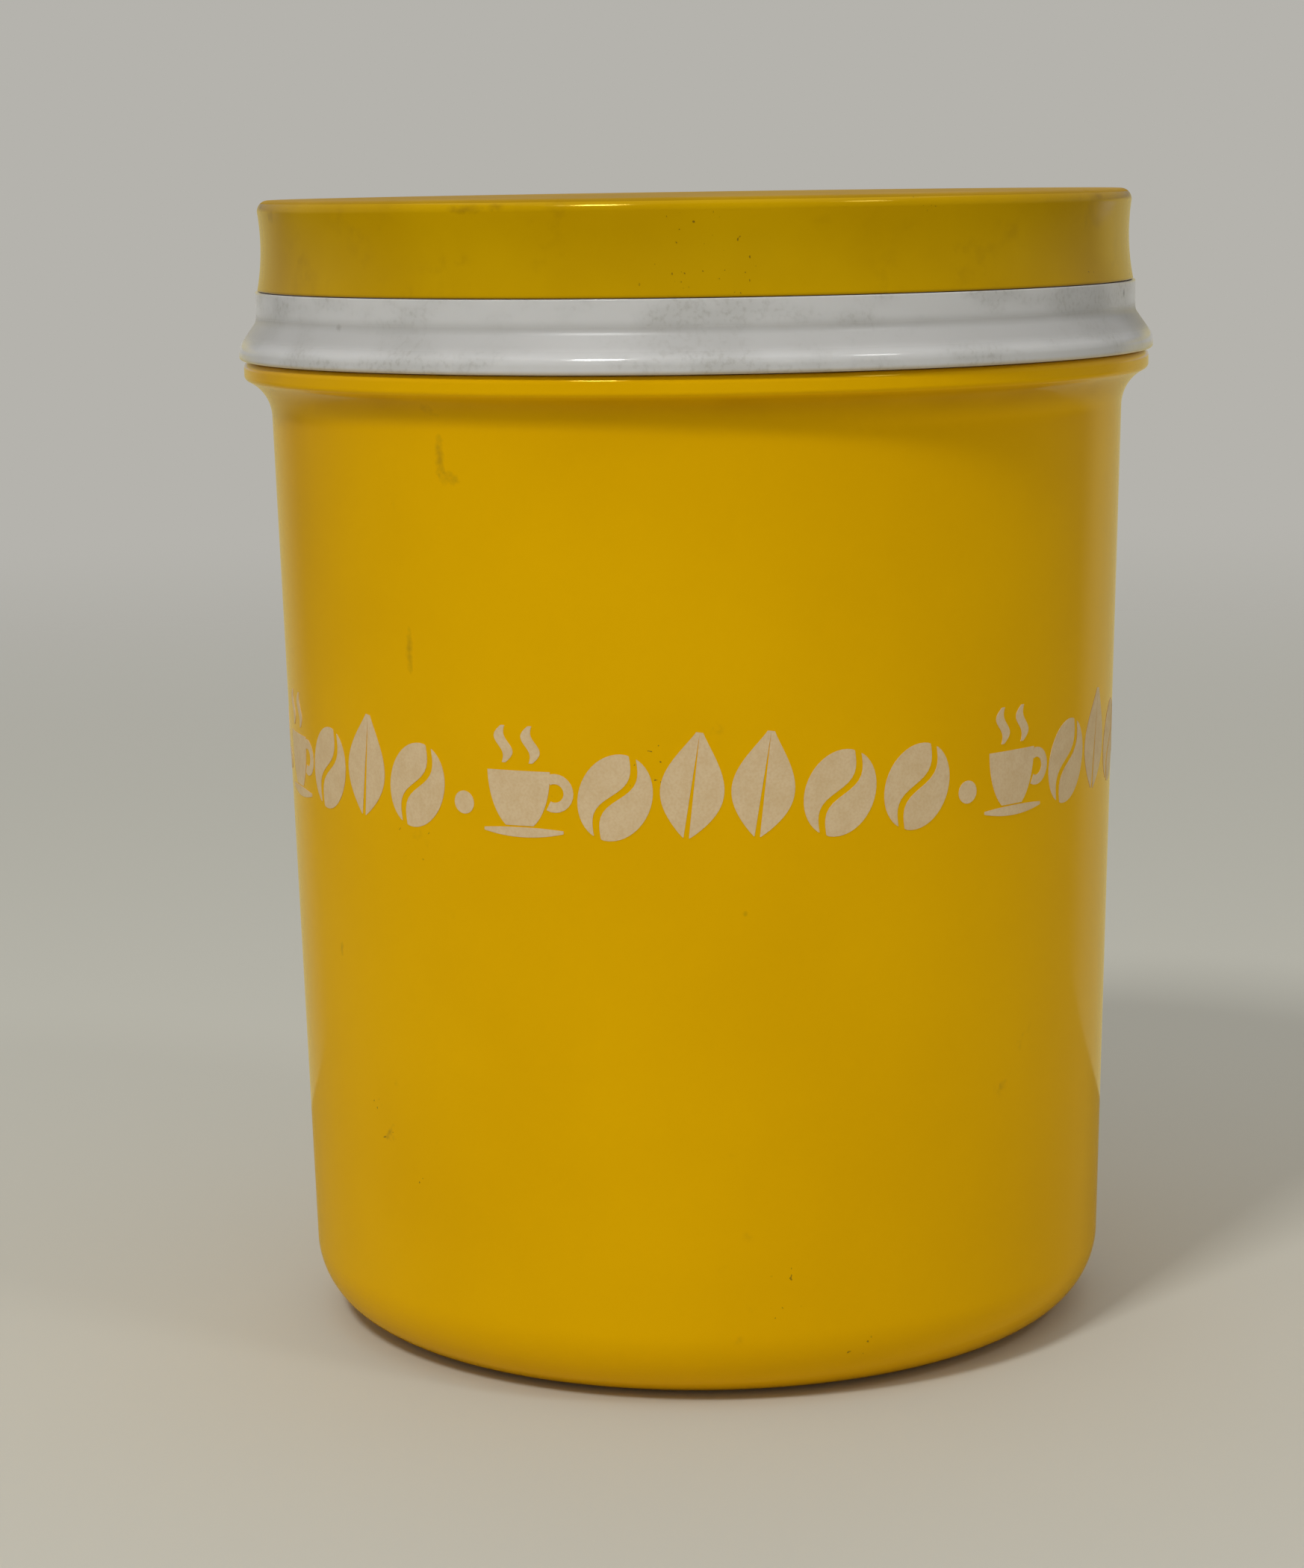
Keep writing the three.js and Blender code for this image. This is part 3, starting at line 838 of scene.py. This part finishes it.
bpy.ops.mesh.primitive_plane_add(size=1)
card = bpy.context.object
card.name = "reflection_card"
card.data.transform(Matrix.Diagonal((CARD_WIDTH, CARD_HEIGHT, 1, 1)))
card.rotation_euler = (math.pi / 2, 0, 0)
card.location = (CARD_SHIFT, CARD_DISTANCE, CARD_HEIGHT / 2)
glowing, tree, place = material("warm_card")
spot = add(tree, "ShaderNodeSeparateXYZ", {0: place}).outputs
aside = add(tree, "ShaderNodeMath", {0: spot["X"]}, operation="ABSOLUTE").outputs[0]
full_width = add(tree, "ShaderNodeMapRange", {"Value": aside, "From Min": CARD_WIDTH / 2,
                 "From Max": CARD_FULL}, interpolation_type="SMOOTHSTEP").outputs["Result"]
edges = []
for height, soft in zip((*NEUTRAL_BAND, CARD_HEIGHT), (NEUTRAL_SOFT, -NEUTRAL_SOFT, -CARD_SOFT_TOP)):
    edges.append(add(tree, "ShaderNodeMapRange", {"Value": spot["Y"], "From Min": height - CARD_HEIGHT / 2,
                     "From Max": height + soft - CARD_HEIGHT / 2}).outputs["Result"])
above_band_foot, below_band_top, below_top = edges
card_colour = painted(tree, "#bdb07c", ("#b9b7b0", above_band_foot, below_band_top))
lit = add(tree, "ShaderNodeEmission", {"Color": card_colour})
clear = add(tree, "ShaderNodeBsdfTransparent")
solid = add(tree, "ShaderNodeMath", {0: full_width, 1: below_top}, operation="MULTIPLY").outputs[0]
mixed = add(tree, "ShaderNodeMixShader", {0: solid, 1: clear.outputs[0], 2: lit.outputs[0]})
add(tree, "ShaderNodeOutputMaterial", {"Surface": mixed.outputs[0]})
card.data.materials.append(glowing)
card.visible_camera = False
card.visible_diffuse = False
card.visible_shadow = False

# White area lights aimed at the canister's middle. Azimuth 0 is the front and 90 the right, angles are
# in degrees, lengths in metres and powers in watts. The last column says if reflections show the light.
middle = Vector((0, 0, cad_high.z / 2))
for name, azimuth, elevation, distance, width, height, power, mirrored in (
        ("key", -29, 48, 1.3, 0.2, 0.2, 5.9, True),
        ("second", 53, 45, 1.4, 0.2, 0.2, 1.3, True),
        ("front_fill", 5, 5, 1.6, 1.0, 0.5, 1.7, False),
        ("left_fill", -100, 10, 1.2, 0.5, 0.5, 0.6, False),
        ("right_fill", 100, 10, 1.2, 0.5, 0.5, 0.45, False),
        ("overhead", 0, 88, 1.5, 2.2, 2.2, 7.6, True),
        ("back_fill", 180, 35, 1.8, 1.6, 1.0, 3.4, True)):
    a, e = math.radians(azimuth), math.radians(elevation)
    away = Vector((math.sin(a) * math.cos(e), -math.cos(a) * math.cos(e), math.sin(e)))
    light = bpy.data.lights.new(name, "AREA")
    light.shape = "RECTANGLE"
    light.size, light.size_y, light.energy = width, height, power
    lamp = bpy.data.objects.new(name, light)
    lamp.location = middle + away * distance
    lamp.rotation_mode = "QUATERNION"
    lamp.rotation_quaternion = away.to_track_quat("Z", "Y")
    lamp.visible_camera = False
    lamp.visible_glossy = mirrored
    bpy.context.scene.collection.objects.link(lamp)

# A camera at lid height that looks down a little, a touch to the left, and leans.
CAMERA_PLACE = Vector((0, -0.52, 0.1587))
LOOK_DOWN = math.radians(9.3)
LOOK_LEFT = math.radians(0.762)
TILT = math.radians(0.86)
LENS = 85.64
SENSOR = 36

camera_data = bpy.data.cameras.new("camera")
camera_data.sensor_width = SENSOR
camera_data.lens = LENS
camera_data.clip_start = 0.01
camera = bpy.data.objects.new("camera", camera_data)
ahead = Vector((-math.sin(LOOK_LEFT) * math.cos(LOOK_DOWN),
                math.cos(LOOK_LEFT) * math.cos(LOOK_DOWN), -math.sin(LOOK_DOWN)))
right = Vector((math.cos(LOOK_LEFT), math.sin(LOOK_LEFT), 0))
up = right.cross(ahead)
tilted_right = right * math.cos(TILT) - up * math.sin(TILT)
tilted_up = right * math.sin(TILT) + up * math.cos(TILT)
camera.rotation_mode = "QUATERNION"
camera.rotation_quaternion = Matrix((tilted_right, tilted_up, -ahead)).transposed().to_quaternion()
camera.location = CAMERA_PLACE
bpy.context.scene.collection.objects.link(camera)
bpy.context.scene.camera = camera
bpy.context.scene.view_settings.view_transform = "Standard"
